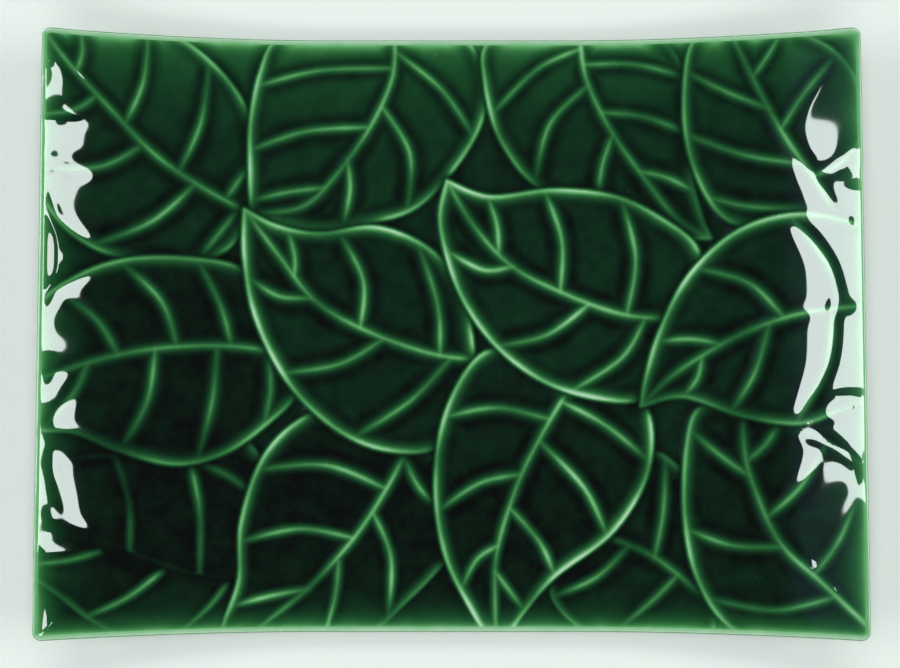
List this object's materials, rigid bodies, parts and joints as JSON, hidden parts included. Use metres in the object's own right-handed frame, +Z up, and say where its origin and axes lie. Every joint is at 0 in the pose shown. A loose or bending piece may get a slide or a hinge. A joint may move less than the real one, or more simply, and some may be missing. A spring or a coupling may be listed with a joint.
{
  "type": "rectangular platter",
  "caption": "Rectangular serving platter of green-glazed earthenware with overlapping veined leaves in relief, raised short ends and a low foot ring.",
  "frame": {"origin": "on the table under the middle of the foot ring", "axes": "+X along the length between the raised ends, +Y along the depth towards the back edge, +Z up"},
  "size_m": [0.35, 0.26, 0.0308],
  "materials": {
    "green_glaze": "glossy transparent green glaze, dark in the hollows and pale on the ridges",
    "bare_clay": "bare fired earthenware, wiped clean of glaze"
  },
  "bodies": {
    "root": {"clay_slab": "green_glaze", "foot_ring": "bare_clay", "leaf_bottom_left": "green_glaze", "leaf_lower_left": "green_glaze", "leaf_top_left": "green_glaze", "leaf_bottom_centre_right": "green_glaze", "leaf_top_centre_left": "green_glaze", "leaf_top_centre_right": "green_glaze", "leaf_top_right": "green_glaze", "leaf_left": "green_glaze", "leaf_bottom_centre_left": "green_glaze", "leaf_bottom_right": "green_glaze", "leaf_centre_left": "green_glaze", "leaf_bottom_centre": "green_glaze", "leaf_centre_right": "green_glaze", "leaf_right": "green_glaze"}
  },
  "joints": []
}
